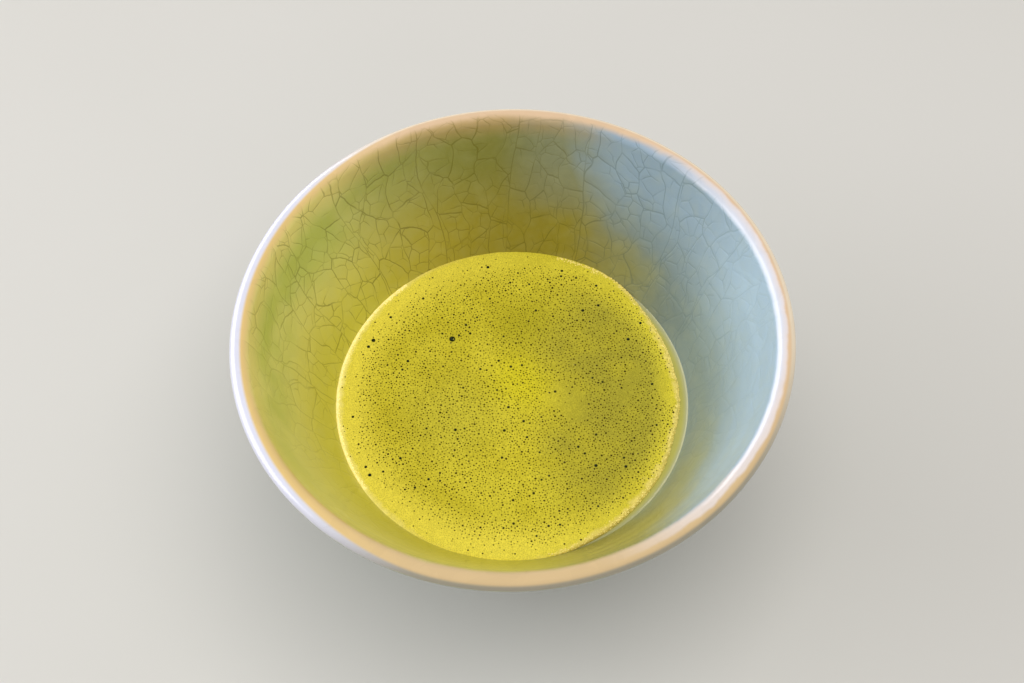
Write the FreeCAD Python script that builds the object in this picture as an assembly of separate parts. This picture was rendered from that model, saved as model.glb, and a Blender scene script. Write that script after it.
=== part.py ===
"""Bowl of whisked green tea: a wheel-thrown bowl with a crackle glaze, its tea and the foam on the tea.

Millimetres, +Z up. The origin is on the bowl's axis, in the plane that the foot ring stands on.
+X is the side where the foam has drawn back from the wall and the bare tea shows.

bowl  one thrown piece: rounded floor, bowed flaring wall, soft lip, turned foot ring
tea   the liquid, from the hollow's floor up to its level, with a meniscus where it is bare
foam  the whisked raft that floats on the tea, with the craters that its large bubbles left
"""
import FreeCAD, Part
import math
import os

from FreeCAD import Vector

# ---- Driving dimensions ----------------------------------------------------------------------

# The bowl's outer form
rim_radius = 60.0              # outside of the lip
bowl_height = 65.0             # table to the crest of the lip
wall_thickness = 4.2           # the same all the way up the wall
wall_bow_radius = 240.0        # gentle outward bow of the inner wall
lip_outer_round = 1.6
lip_inner_round = 2.4          # softer on the drinker's side

# The hollow and the underside
floor_height = 9.2             # table to the lowest point of the hollow
floor_round_radius = 42.7      # rounded floor, tangent to the wall
heel_thickness = 6.8           # clay under the lowest point of the hollow, before the foot is turned

# The foot ring
foot_radius = 24.0             # outside, where it stands
foot_ring_width = 4.2          # width of the ring that stands on the table
foot_recess_depth = 3.6
foot_lean = 5.0                # degrees that the ring's two sides lean away from each other upwards
foot_root_fillet = 2.2         # where the ring grows out of the bowl
foot_edge_fillet = 0.7         # worn edges of the standing face
recess_fillet = 1.4

# The tea
tea_level = 33.9               # table to the flat surface of the liquid
meniscus_rise = 0.7            # how far the liquid climbs the wet wall
meniscus_reach = 1.5           # width of the curved strip beside the wall

# The foam
foam_thickness = 1.1
foam_edge_round = 0.5
foam_gap = 2.6                 # widest bare tea between the foam and the wall, on the +X side
foam_gap_arc = 74.0            # degrees either side of +X over which the gap closes
foam_overreach = 1.5           # how far the raft would pass the wall on its full side, before it is trimmed
foam_ripple = 0.16             # unevenness of the raft's outline

# The large bubbles' craters in the foam
crater_count = 34
crater_mouth_small = 0.34      # radius of the smallest crater's mouth
crater_mouth_large = 0.62      # radius of the largest crater's mouth
crater_depth_share = 0.8       # depth of a crater over the radius of its mouth
crater_margin = 2.4            # foam left between the outermost craters and the raft's edge

# ---- The turned section, in the XZ half-plane ------------------------------------------------

UP = Vector(0, 0, 1)
ORIGIN = Vector(0, 0, 0)


def at(radius, height):
    return Vector(radius, 0, height)


def heading(start, end):
    return (end - start).normalize()


def arc(centre, start, end):
    """The shorter arc about centre from start to end."""
    radius = (start - centre).Length
    middle = centre + heading(centre, (start + end) * 0.5) * radius
    return Part.Arc(start, middle, end).toShape()


def line(start, end):
    return Part.LineSegment(start, end).toShape()


def wall_centre(lip_centre, floor_centre):
    """Centre of the wall's bow, which runs tangent into the floor's round and into the lip's.

    It is where two circles about those centres cross, on the far side of the bowl's axis.
    """
    from_lip = wall_bow_radius + wall_thickness - lip_outer_round
    from_floor = wall_bow_radius - floor_round_radius
    span = (floor_centre - lip_centre).Length
    along = (from_lip ** 2 - from_floor ** 2 + span ** 2) / (2 * span)
    across = math.sqrt(from_lip ** 2 - along ** 2)
    direction = heading(lip_centre, floor_centre)
    sideways = at(direction.z, -direction.x)
    choices = [lip_centre + direction * along + sideways * across * side for side in (1, -1)]
    return min(choices, key=lambda point: point.x)


def floor_round_under(height, wall_radius):
    """Radius of the arc that starts level on the axis at height and ends tangent to a wall circle."""
    rise = bow.z - height
    return (bow.x ** 2 + rise ** 2 - wall_radius ** 2) / (2 * (rise - wall_radius))


floor_centre = at(0, floor_height + floor_round_radius)
outer_lip_centre = at(rim_radius - lip_outer_round, bowl_height - lip_outer_round)
bow = wall_centre(outer_lip_centre, floor_centre)

inner_lip_drop = bow.z - (bowl_height - lip_inner_round)
inner_lip_reach = math.sqrt((wall_bow_radius + lip_inner_round) ** 2 - inner_lip_drop ** 2)
inner_lip_centre = at(bow.x + inner_lip_reach, bowl_height - lip_inner_round)

outer_wall_radius = wall_bow_radius + wall_thickness
heel_height = floor_height - heel_thickness
heel_round_radius = floor_round_under(heel_height, outer_wall_radius)
heel_centre = at(0, heel_height + heel_round_radius)


def wall_top(wall_radius, lip_centre):
    """Where a face of the wall runs into the lip's round."""
    return bow + heading(bow, lip_centre) * wall_radius


def wall_turn(round_centre, round_radius):
    """Where the rounded bottom of a face runs into its wall."""
    return round_centre + heading(bow, round_centre) * round_radius


def inner_radius_at(height):
    """Radius of the hollow at a height."""
    if height >= wall_turn(floor_centre, floor_round_radius).z:
        return bow.x + math.sqrt(wall_bow_radius ** 2 - (bow.z - height) ** 2)
    return math.sqrt(floor_round_radius ** 2 - (floor_centre.z - height) ** 2)


def ring_side_meets(centre, radius):
    """Where the foot ring's leaning outer side first crosses a circle of the section."""
    slope = math.tan(math.radians(foot_lean))
    square = 1 + slope ** 2
    half_linear = (foot_radius - centre.x) * slope - centre.z
    constant = (foot_radius - centre.x) ** 2 + centre.z ** 2 - radius ** 2
    height = (-half_linear - math.sqrt(half_linear ** 2 - square * constant)) / square
    return at(foot_radius + height * slope, height)


def outside_below_lip():
    """The outer face's arcs, from where it leaves the foot ring up to the lip's round."""
    turn = wall_turn(heel_centre, heel_round_radius)
    top = wall_top(outer_wall_radius, outer_lip_centre)
    root = ring_side_meets(heel_centre, heel_round_radius)
    if root.x < turn.x:
        return root, [arc(heel_centre, root, turn), arc(bow, turn, top)]
    root = ring_side_meets(bow, outer_wall_radius)
    return root, [arc(bow, root, top)]


def turned(edges):
    """The solid of revolution of a closed section."""
    section = Part.Face(Part.Wire(edges))
    return Part.makeSolid(section.revolve(ORIGIN, UP, 360))


def blank():
    """The bowl and its foot as one solid lump, before it is hollowed."""
    standing = at(foot_radius, 0)
    root, side = outside_below_lip()
    top = wall_top(outer_wall_radius, outer_lip_centre)
    crest = outer_lip_centre + UP * lip_outer_round
    axis_top = at(0, bowl_height)
    base = [line(ORIGIN, standing), line(standing, root)]
    lip = [arc(outer_lip_centre, top, crest), line(crest, axis_top), line(axis_top, ORIGIN)]
    return turned(base + side + lip)


def hollow_side(upper, lower):
    """The inner face's arcs from an upper point of it down to a lower one."""
    turn = wall_turn(floor_centre, floor_round_radius)
    if lower.z >= turn.z:
        return [arc(bow, upper, lower)]
    if upper.z <= turn.z:
        return [arc(floor_centre, upper, lower)]
    return [arc(bow, upper, turn), arc(floor_centre, turn, lower)]


def hollow():
    """The space inside the bowl, up to the plane of the lip's crest."""
    lowest = at(0, floor_height)
    top = wall_top(wall_bow_radius, inner_lip_centre)
    crest = inner_lip_centre + UP * lip_inner_round
    axis_top = at(0, bowl_height)
    lip = [line(axis_top, crest), arc(inner_lip_centre, crest, top)]
    return turned(lip + hollow_side(top, lowest) + [line(lowest, axis_top)])


# ---- The bowl --------------------------------------------------------------------------------

def rings_at(shape, radius, height):
    """The shape's edges that circle the axis at this radius and height."""
    wanted = at(radius, height)
    rings = [edge for edge in shape.Edges if edge.BoundBox.ZLength < 0.01]
    return [edge for edge in rings if (edge.Vertexes[0].Point - wanted).Length < 0.01]


def bowl():
    root = outside_below_lip()[0]
    recess_radius = foot_radius - foot_ring_width
    ceiling_radius = recess_radius - foot_recess_depth * math.tan(math.radians(foot_lean))

    clay = blank()
    clay = clay.makeFillet(foot_root_fillet, rings_at(clay, root.x, root.z))
    clay = clay.cut(Part.makeCone(recess_radius, ceiling_radius, foot_recess_depth))
    clay = clay.makeFillet(recess_fillet, rings_at(clay, ceiling_radius, foot_recess_depth))
    standing_edges = rings_at(clay, foot_radius, 0) + rings_at(clay, recess_radius, 0)
    clay = clay.makeFillet(foot_edge_fillet, standing_edges)
    return clay.cut(hollow())


# ---- The tea ---------------------------------------------------------------------------------

def meniscus():
    """The strip of liquid that climbs the wet wall, where no foam lies over it."""
    foot = at(inner_radius_at(tea_level), tea_level)
    wet_edge = at(inner_radius_at(tea_level + meniscus_rise), tea_level + meniscus_rise)
    level_edge = at(wet_edge.x - meniscus_reach, tea_level)
    round_radius = (meniscus_reach ** 2 + meniscus_rise ** 2) / (2 * meniscus_rise)
    surface = arc(level_edge + UP * round_radius, level_edge, wet_edge)
    wall = hollow_side(wet_edge, foot)
    strip = turned([surface] + wall + [line(foot, level_edge)])
    over_and_under = 2 * (meniscus_rise + foam_thickness)
    under_foam = Part.Face(foam_outline()).extrude(UP * over_and_under)
    under_foam.translate(UP * (-over_and_under / 2))
    return strip.cut(under_foam)


def tea():
    level_tea = hollow().common(Part.makeCylinder(rim_radius, tea_level))
    return level_tea.fuse(meniscus()).removeSplitter()


# ---- The foam --------------------------------------------------------------------------------

def foam_radius(angle):
    """The raft's outline: past the wall all round, except where it has drawn back on the +X side."""
    turn = (angle + math.pi) % (2 * math.pi) - math.pi
    openness = max(0.0, 1 - (math.degrees(turn) / foam_gap_arc) ** 4)
    fringe = foam_ripple * (math.sin(7 * angle + 0.6) + 0.7 * math.sin(13 * angle + 2.1))
    draw = (foam_gap + foam_overreach) * openness
    return inner_radius_at(tea_level + foam_thickness) + foam_overreach - draw + fringe * openness


def foam_outline():
    steps = 120
    points = []
    for step in range(steps):
        angle = 2 * math.pi * step / steps
        radius = foam_radius(angle)
        points.append(Vector(radius * math.cos(angle), radius * math.sin(angle), tea_level))
    outline = Part.BSplineCurve()
    outline.interpolate(Points=points, PeriodicFlag=True)
    return Part.Wire(outline.toShape())


def foam_raft():
    """The foam without its craters, its full side trimmed to the wall."""
    disc = Part.Face(foam_outline()).extrude(UP * foam_thickness)
    top_edges = [edge for edge in disc.Edges if edge.BoundBox.ZMin > tea_level + foam_thickness / 2]
    return disc.makeFillet(foam_edge_round, top_edges).common(hollow())


def craters():
    """Ball-shaped cutters, spread evenly by the golden angle with a small wander each."""
    golden_angle = math.pi * (3 - math.sqrt(5))
    reach = inner_radius_at(tea_level) - foam_gap - crater_margin
    surface = tea_level + foam_thickness
    balls = []
    for index in range(crater_count):
        share = (index + 0.5) / crater_count
        wander = math.sin(5.3 * index)
        radius = reach * math.sqrt(share) * (1 + 0.04 * wander)
        angle = golden_angle * index + 0.25 * math.cos(3.1 * index)
        size = 0.5 + 0.5 * math.sin(2.3 * index + 0.4)
        mouth = crater_mouth_small + (crater_mouth_large - crater_mouth_small) * size ** 2
        depth = mouth * crater_depth_share
        ball = (mouth ** 2 + depth ** 2) / (2 * depth)
        place = Vector(min(radius, reach) * math.cos(angle), min(radius, reach) * math.sin(angle),
                       surface - depth + ball)
        balls.append(Part.makeSphere(ball, place))
    return balls


def foam():
    raft = foam_raft()
    for ball in craters():
        raft = raft.cut(ball)
    return raft


# ---- Build -----------------------------------------------------------------------------------

os.makedirs("parts", exist_ok=True)
for name, make in (("bowl", bowl), ("tea", tea), ("foam", foam)):
    solid = make()
    solid.exportStep(f"parts/{name}.step")
    box = solid.BoundBox
    print(f"{name}: {solid.Volume / 1000:.2f} cm3, {len(solid.Solids)} solid, "
          f"{box.XLength:.2f} x {box.YLength:.2f} x {box.ZLength:.2f} mm")
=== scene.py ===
# %% [markdown]
# # A bowl of matcha tea
# This lesson dresses a finished CAD model. The model gives three solids: a footed bowl, the tea
# that fills its lower half, and the raft of whisked foam on the tea. Blender adds what a solid
# can't show: crazed celadon glaze, wet tea, and thousands of small bubbles.
# The CAD model is loaded first and is never moved, so that every new piece can be placed by its
# numbers, in metres, with Z up and the foot standing on Z = 0.

# %% Load the CAD frame
import math
import random

import bmesh
import bpy
from mathutils import Matrix, Vector, noise


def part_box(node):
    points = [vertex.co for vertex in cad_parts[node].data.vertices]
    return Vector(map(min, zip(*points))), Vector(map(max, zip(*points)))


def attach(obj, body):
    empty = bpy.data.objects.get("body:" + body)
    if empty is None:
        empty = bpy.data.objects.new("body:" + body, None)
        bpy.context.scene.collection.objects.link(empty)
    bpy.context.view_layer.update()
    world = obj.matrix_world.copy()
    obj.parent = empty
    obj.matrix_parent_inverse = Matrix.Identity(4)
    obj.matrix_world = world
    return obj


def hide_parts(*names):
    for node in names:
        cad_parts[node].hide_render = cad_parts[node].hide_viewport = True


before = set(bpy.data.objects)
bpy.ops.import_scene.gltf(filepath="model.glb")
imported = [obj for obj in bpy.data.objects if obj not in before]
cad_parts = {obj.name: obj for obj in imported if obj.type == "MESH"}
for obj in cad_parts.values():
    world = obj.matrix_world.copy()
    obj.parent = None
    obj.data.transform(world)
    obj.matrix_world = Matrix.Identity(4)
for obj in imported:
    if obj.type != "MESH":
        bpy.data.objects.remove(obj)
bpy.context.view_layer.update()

# %% [markdown]
# ## The bowl's own numbers
# A thrown bowl is a body of revolution, so a handful of radii, heights and arc centres say all
# of its section. They are the CAD model's driving sizes and the arc centres that follow from
# them, in millimetres. A pair is a radius and a height. The rim's radius and the bowl's height
# are read from the frame instead, so these two always agree with the model.

# %% Sizes of the section
MM = 0.001
RIM_RADIUS = (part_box("bowl")[1].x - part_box("bowl")[0].x) / 2
BOWL_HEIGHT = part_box("bowl")[1].z
BOW_CENTRE = (-162.355, 164.007)
FLOOR_HEIGHT = 9.2
FLOOR_CENTRE = (0.0, 51.9)
FLOOR_MEETS_WALL = (35.137, 27.638)
HEEL_CENTRE = (0.0, 45.730)
HEEL_MEETS_WALL = (35.022, 20.216)
LIP_IN_CENTRE = (57.813, 62.6)
LIP_OUT_CENTRE = (58.4, 63.4)
FOOT_RADIUS = 24.0
FOOT_ROOT = (24.898, 10.268)
FOOT_ROOT_FILLET = 2.2
FOOT_EDGE_FILLET = 0.7
RECESS_RADIUS_LOW = 19.8
RECESS_RADIUS_HIGH = 19.49
RECESS_DEPTH = 3.6
RECESS_FILLET = 1.4
TEA_LEVEL = 33.9
FOAM_TOP = 35.0
print("rim radius", round(RIM_RADIUS / MM, 2), "mm, height", round(BOWL_HEIGHT / MM, 2), "mm")

# %% [markdown]
# ## Camera
# The camera looks down at the bowl as a guest does who is about to drink, from 58 degrees above
# the table and a little under 40 cm away. A lens of 65 mm on a 36 mm sensor keeps the rim's
# ellipse calm. The small roll is part of the view: the bowl leans by about one degree.

# %% Place the camera
VIEW_DISTANCE = 0.3919
VIEW_ELEVATION = math.radians(57.80)
VIEW_PITCH = math.radians(90 - 58.23)
VIEW_ROLL = math.radians(-1.27)
LENS = 65.04
SENSOR_WIDTH = 36.0
camera_data = bpy.data.cameras.new("guest_view")
camera_data.lens = LENS
camera_data.sensor_width = SENSOR_WIDTH
camera_data.clip_start = 0.01
camera = bpy.data.objects.new("guest_view", camera_data)
bpy.context.scene.collection.objects.link(camera)
away = Vector((0, -math.cos(VIEW_ELEVATION), math.sin(VIEW_ELEVATION))) * VIEW_DISTANCE
camera.matrix_world = (
    Matrix.Translation(Vector((0, 0, BOWL_HEIGHT)) + away)
    @ Matrix.Rotation(VIEW_PITCH, 4, "X")
    @ Matrix.Rotation(VIEW_ROLL, 4, "Z")
)
bpy.context.scene.camera = camera
print("camera at", [round(c, 4) for c in camera.matrix_world.translation])

# %% [markdown]
# ## Helpers for wiring nodes
# A material is a small network. Writing one line per node keeps it readable: each helper adds
# one node, feeds its sockets with numbers or with other sockets, and hands back its result.
# The floor needs only a few of them, and the glaze brings in more. Colours are written as they
# look on a screen, from 0 to 255, and turned into the linear numbers that Blender works with.

# %% Helpers: add a node, feed it, mix colours
def add_node(tree, kind, **settings):
    made = tree.nodes.new(kind)
    for name, value in settings.items():
        setattr(made, name, value)
    return made


def feed(tree, socket, value):
    if isinstance(value, bpy.types.NodeSocket):
        tree.links.new(value, socket)
    else:
        socket.default_value = value


def cloud(tree, where, size, detail=2.0):
    made = add_node(tree, "ShaderNodeTexNoise")
    feed(tree, made.inputs["Vector"], where)
    made.inputs["Scale"].default_value = 1 / size
    made.inputs["Detail"].default_value = detail
    return made.outputs["Fac"]


def blend(tree, factor, first, second, kind="MIX"):
    made = add_node(tree, "ShaderNodeMix", data_type="RGBA", blend_type=kind)
    feed(tree, made.inputs[0], factor)
    feed(tree, made.inputs[6], first)
    feed(tree, made.inputs[7], second)
    return made.outputs[2]


print("nodes can be added, fed and mixed")

# %% Helper: a colour by its display values
def tone(red, green, blue):
    linear = [((c / 255 + 0.055) / 1.055) ** 2.4 if c > 10 else c / 255 / 12.92
              for c in (red, green, blue)]
    return (*linear, 1.0)


print("a grey shown as 128 is", round(tone(128, 128, 128)[0], 3), "in linear light")

# %% Helper: a new material
def new_material(name, **constants):
    material = bpy.data.materials.new(name)
    material.use_nodes = True
    shader = material.node_tree.nodes["Principled BSDF"]
    for label, value in constants.items():
        shader.inputs[label.replace("_", " ")].default_value = value
    place = add_node(material.node_tree, "ShaderNodeTexCoord").outputs["Object"]
    return material, material.node_tree, shader.inputs, place


print("a material starts from one Principled shader and Object coordinates")

# %% [markdown]
# ## Floor and light
# The studio is plain: a pale floor, an even sky, a soft window far to the left behind the bowl,
# and a wide panel overhead that fills the inside. Together they light a level surface with about
# the strength at which a colour comes out as it is written, and the Standard view shows it so.
# A third panel stands where the window is and is seen by reflections alone. It draws the cool
# line on the lip, and its strength can be set without changing the light on the bowl.

# %% Pale floor
FLOOR_HALF_WIDTH = 2.5
FLOOR_CLOUD = 0.12
floor_mesh = bmesh.new()
bmesh.ops.create_grid(floor_mesh, x_segments=2, y_segments=2, size=FLOOR_HALF_WIDTH)
floor_data = bpy.data.meshes.new("floor")
floor_mesh.to_mesh(floor_data)
floor_mesh.free()
floor = bpy.data.objects.new("floor", floor_data)
bpy.context.scene.collection.objects.link(floor)
floor_paint, paint_tree, paint_inputs, paint_place = new_material(
    "pale_floor", Roughness=0.9, Specular_IOR_Level=0.0)
floor_cloud = cloud(paint_tree, paint_place, FLOOR_CLOUD)
feed(paint_tree, paint_inputs["Base Color"], blend(
    paint_tree, floor_cloud, tone(209, 206, 200), tone(214, 211, 206)))
floor_data.materials.append(floor_paint)
print("floor", 2 * FLOOR_HALF_WIDTH, "m wide")

# %% Sky
bpy.context.scene.view_settings.view_transform = "Standard"
SKY_STRENGTH = 0.55
world = bpy.data.worlds.new("studio_sky")
bpy.context.scene.world = world
world.use_nodes = True
sky_inputs = world.node_tree.nodes["Background"].inputs
sky_inputs["Color"].default_value = (1.0, 1.0, 1.0, 1.0)
sky_inputs["Strength"].default_value = SKY_STRENGTH
print("sky strength", SKY_STRENGTH)

# %% Lamps
BOWL_MIDDLE = Vector((0, 0, 0.05))


def hang_panel(name, place, size, power, colour):
    data = bpy.data.lights.new(name, "AREA")
    data.shape = "RECTANGLE"
    data.size, data.size_y = size
    data.energy = power
    data.color = colour
    lamp = bpy.data.objects.new(name, data)
    bpy.context.scene.collection.objects.link(lamp)
    lamp.location = place
    lamp.rotation_euler = (BOWL_MIDDLE - Vector(place)).to_track_quat("-Z", "Y").to_euler()
    return lamp


window = hang_panel("window", place=(-0.85, 0.14, 0.45), size=(1.1, 0.5), power=4.6,
                    colour=(0.93, 0.96, 1.0))
window.visible_glossy = False
overhead = hang_panel("overhead", place=(0.18, -0.14, 1.30), size=(1.0, 1.0), power=8.0,
                      colour=(1.0, 0.99, 0.96))
overhead.visible_glossy = False
glare = hang_panel("window_glare", place=(-0.77, 0.40, 0.48), size=(1.6, 0.86), power=17.5,
                   colour=(0.97, 0.95, 1.0))
glare.visible_diffuse = False
print(len(bpy.data.lights), "panels")

# %% [markdown]
# ## Making turned pieces
# A potter's wheel makes every round shape from one section, and so does the spin operator. The
# section starts as one vertex. Swinging that vertex round an arc's centre leaves a chain of
# edges behind it, and pulling it to a new place adds a straight edge. A full spin round Z then
# turns the finished chain into a skin. Spinning an eighth of the way and then doubling the wedge
# three times gives the same skin as one full spin, and is many times faster.

# %% Helpers: draw a section
def start_section(radius, height, kept_number=None):
    section = bmesh.new()
    if kept_number:
        section.verts.layers.float.new(kept_number)
    return section, section.verts.new((radius * MM, 0, height * MM))


def swing(section, vert, centre, degrees, steps):
    made = bmesh.ops.spin(
        section, geom=[vert], cent=(centre[0] * MM, 0, centre[1] * MM), axis=(0, -1, 0),
        angle=math.radians(degrees), steps=steps, use_merge=False)
    return next(g for g in made["geom_last"] if isinstance(g, bmesh.types.BMVert))


def pull_to(section, vert, radius, height, steps=1):
    start = vert.co.copy()
    goal = Vector((radius * MM, 0, height * MM))
    for step in range(1, steps + 1):
        vert = bmesh.ops.extrude_vert_indiv(section, verts=[vert])["verts"][0]
        vert.co = start.lerp(goal, step / steps)
    return vert


def angle_of(centre, point):
    return math.degrees(math.atan2(point[1] - centre[1], point[0] - centre[0]))


print("a point up and to the right of a centre lies at", angle_of((0, 0), (1, 1)), "degrees")

# %% [markdown]
# ## Section of the bowl
# The section runs from the middle of the inner floor, out along the floor's arc, up the long
# slack curve of the wall, over the lip, and down the outside to the foot ring and the recess
# under it. Where two arcs meet, both have the same tangent, so the glaze shows no crease.

# %% Draw the section from floor to lip
WALL_STEPS = 84
turn_in = angle_of(FLOOR_CENTRE, FLOOR_MEETS_WALL)
lip_in = angle_of(BOW_CENTRE, LIP_IN_CENTRE)
lip_out = angle_of(BOW_CENTRE, LIP_OUT_CENTRE)
heel_turn = angle_of(HEEL_CENTRE, HEEL_MEETS_WALL)
heel_root = angle_of(HEEL_CENTRE, FOOT_ROOT)

bowl_section, tip = start_section(0, FLOOR_HEIGHT, "from_lip")
tip = swing(bowl_section, tip, FLOOR_CENTRE, turn_in + 90, 24)
tip = swing(bowl_section, tip, BOW_CENTRE, lip_in - turn_in, WALL_STEPS)
tip = swing(bowl_section, tip, LIP_IN_CENTRE, 90 - (lip_in + 180), 12)
tip = pull_to(bowl_section, tip, LIP_OUT_CENTRE[0], BOWL_HEIGHT / MM, 2)
tip = swing(bowl_section, tip, LIP_OUT_CENTRE, lip_out - 90, 20)
tip = swing(bowl_section, tip, BOW_CENTRE, heel_turn - lip_out, WALL_STEPS)
tip = swing(bowl_section, tip, HEEL_CENTRE, heel_root - heel_turn, 8)
print("section so far:", len(bowl_section.verts), "vertices")

# %% Helper: round a corner of the section
def round_corner(section, vert, radius, segments):
    one, two = (edge.other_vert(vert).co - vert.co for edge in vert.link_edges)
    turn = math.pi - one.angle(two)
    bmesh.ops.bevel(
        section, geom=[vert], offset=radius * MM * math.tan(turn / 2), offset_type="OFFSET",
        segments=segments, profile=0.5, affect="VERTICES", material=-1)


print("corners to round:", FOOT_ROOT_FILLET, FOOT_EDGE_FILLET, FOOT_EDGE_FILLET, RECESS_FILLET, "mm")

# %% Draw the foot ring and its recess
LONG_EDGE = 2 * MM
FOOT_ZONE_RADIUS = 15 * MM
FOOT_ZONE_HEIGHT = 12 * MM
foot_root = tip
foot_outer = pull_to(bowl_section, foot_root, FOOT_RADIUS, 0)
foot_inner = pull_to(bowl_section, foot_outer, RECESS_RADIUS_LOW, 0)
recess_corner = pull_to(bowl_section, foot_inner, RECESS_RADIUS_HIGH, RECESS_DEPTH)
pull_to(bowl_section, recess_corner, 0, RECESS_DEPTH, 12)
for corner, fillet, segments in (
        (foot_root, FOOT_ROOT_FILLET, 5), (foot_outer, FOOT_EDGE_FILLET, 4),
        (foot_inner, FOOT_EDGE_FILLET, 4), (recess_corner, RECESS_FILLET, 4)):
    round_corner(bowl_section, corner, fillet, segments)
long_edges = [e for e in bowl_section.edges
              if e.calc_length() > LONG_EDGE and e.verts[0].co.x > FOOT_ZONE_RADIUS
              and e.verts[0].co.z < FOOT_ZONE_HEIGHT]
bmesh.ops.subdivide_edges(bowl_section, edges=long_edges, cuts=9)
print("with its foot:", len(bowl_section.verts), "vertices")

# %% [markdown]
# ## A ruler that the glaze can read
# Glaze behaves by how far it is from the lip: it runs thin over the edge and pools lower down.
# A coordinate can't say that, but a number kept on every vertex can. Each vertex stores its
# distance along the skin from the crest of the lip, below zero inside and above zero outside.
# Spin copies the number to every vertex it makes, so it is written once, on the section.

# %% Helper: walk along a section from its higher end
def walk(section):
    ends = [vert for vert in section.verts if len(vert.link_edges) == 1]
    vert = max(ends, key=lambda end: end.co.z)
    chain, edge = [vert], None
    while True:
        onward = [e for e in vert.link_edges if e is not edge]
        if not onward:
            return chain
        edge = onward[0]
        vert = edge.other_vert(vert)
        chain.append(vert)


print("vertices on the way from the inner floor to the recess:", len(walk(bowl_section)))

# %% Store the distance from the lip
from_lip = bowl_section.verts.layers.float["from_lip"]
chain = walk(bowl_section)
travelled = 0.0
for before, vert in zip(chain, chain[1:]):
    travelled += (vert.co - before.co).length
    vert[from_lip] = travelled
crest_at = max(chain, key=lambda vert: (round(vert.co.z, 7), vert.co.x))[from_lip]
for vert in chain:
    vert[from_lip] -= crest_at
print("skin inside", round(crest_at / MM, 1), "mm, outside", round((travelled - crest_at) / MM, 1), "mm")

# %% Turn the bowl
WEDGE = 2 * math.pi / 8
WELD_DISTANCE = 2e-7
BOWL_STEPS = 256


def turn_full(section, steps):
    bmesh.ops.spin(
        section, geom=section.verts[:] + section.edges[:], cent=(0, 0, 0), axis=(0, 0, 1),
        angle=WEDGE, steps=steps // 8, use_merge=False)
    for times in (1, 2, 4):
        everything = section.verts[:] + section.edges[:] + section.faces[:]
        copy = bmesh.ops.duplicate(section, geom=everything)
        fresh = [g for g in copy["geom"] if isinstance(g, bmesh.types.BMVert)]
        bmesh.ops.rotate(section, verts=fresh, cent=(0, 0, 0),
                         matrix=Matrix.Rotation(WEDGE * times, 3, "Z"))
        bmesh.ops.remove_doubles(section, verts=section.verts, dist=WELD_DISTANCE)
    bmesh.ops.recalc_face_normals(section, faces=section.faces)


turn_full(bowl_section, BOWL_STEPS)
print("bowl skin closed:", all(edge.is_manifold for edge in bowl_section.edges))

# %% [markdown]
# ## The hand in the clay
# Nothing thrown is perfectly round. The rim waves by a tenth of a millimetre, the fingers leave
# faint rings round the wall, and the glaze stops in a small ledge above the foot where the
# potter wiped it away. These are moves of the skin itself, far too small to change a size.

# %% Sizes of the moves, and where the glaze stops
FIRM_BELOW = 14 * MM
FREE_OVER = 30 * MM
RING_SPACING = 5.2 * MM
LEDGE_DEPTH = 0.18 * MM
LEDGE_HEIGHT = 0.5 * MM
KEPT_FLAT_BELOW = 0.6 * MM
FOOT_RING_MIDDLE = 22 * MM


def within_one(value):
    return min(1.0, max(0.0, value))


def glaze_line(azimuth):
    wave = 0.5 * math.sin(2 * azimuth + 0.7) + 0.35 * math.sin(5 * azimuth + 2.0)
    return (2.9 + wave + 0.2 * math.sin(11 * azimuth)) * MM


print("glaze line on the +X side:", round(glaze_line(0) / MM, 2), "mm above the table")

# %% Unevenness, throwing rings and the glaze ledge
for vert in bowl_section.verts:
    radius = math.hypot(vert.co.x, vert.co.y)
    if radius < 1 * MM:
        continue
    azimuth = math.atan2(vert.co.y, vert.co.x)
    outward = Vector((vert.co.x, vert.co.y, 0)) / radius
    outside = vert[from_lip] > 0
    lift = within_one((vert.co.z - FIRM_BELOW) / FREE_OVER)
    wobble = 0.07 * math.sin(2 * azimuth + 0.4) + 0.05 * math.sin(3 * azimuth + 2.1)
    wobble += 0.10 * noise.noise(vert.co * 45)
    rings = 0.045 if outside else 0.025
    rings *= math.sin(vert.co.z / RING_SPACING * 2 * math.pi + azimuth)
    vert.co += outward * (wobble + rings) * lift * MM
    vert.co.z += 0.10 * MM * lift * math.sin(2 * azimuth + 1.3)
    if outside and vert.co.z < FOOT_ZONE_HEIGHT and radius > FOOT_ZONE_RADIUS:
        bare = 1 - within_one((vert.co.z - glaze_line(azimuth)) / LEDGE_HEIGHT)
        inward = -outward if radius > FOOT_RING_MIDDLE else outward
        vert.co += inward * LEDGE_DEPTH * bare * (1.0 if vert.co.z > KEPT_FLAT_BELOW else 0.0)
print("rim radius now", round(max(v.co.xy.length for v in bowl_section.verts) / MM, 2), "mm")

# %% [markdown]
# ## Helpers for fields over the surface
# A mask is a number from 0 to 1 that says where something is. Two masks multiplied are 1 only
# where both are, and 1 minus a mask is the rest of the surface. A soft step turns a height or a
# distance into a mask without a hard edge. What belongs together goes into a node group with
# named sockets, which is built once and can serve several materials.

# %% Helpers: calculate with numbers
def maths(tree, operation, *values):
    made = add_node(tree, "ShaderNodeMath", operation=operation)
    for socket, value in zip(made.inputs, values):
        feed(tree, socket, value)
    return made.outputs[0]


def both(tree, first, second):
    return maths(tree, "MULTIPLY", first, second)


def rest_of(tree, mask):
    return maths(tree, "SUBTRACT", 1.0, mask)


def soft_step(tree, value, start, end, low=0.0, high=1.0):
    made = add_node(tree, "ShaderNodeMapRange", interpolation_type="SMOOTHSTEP")
    for name, given in zip(("Value", "From Min", "From Max", "To Min", "To Max"),
                           (value, start, end, low, high)):
        feed(tree, made.inputs[name], given)
    return made.outputs["Result"]


print("numbers can be calculated and stepped")

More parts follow.
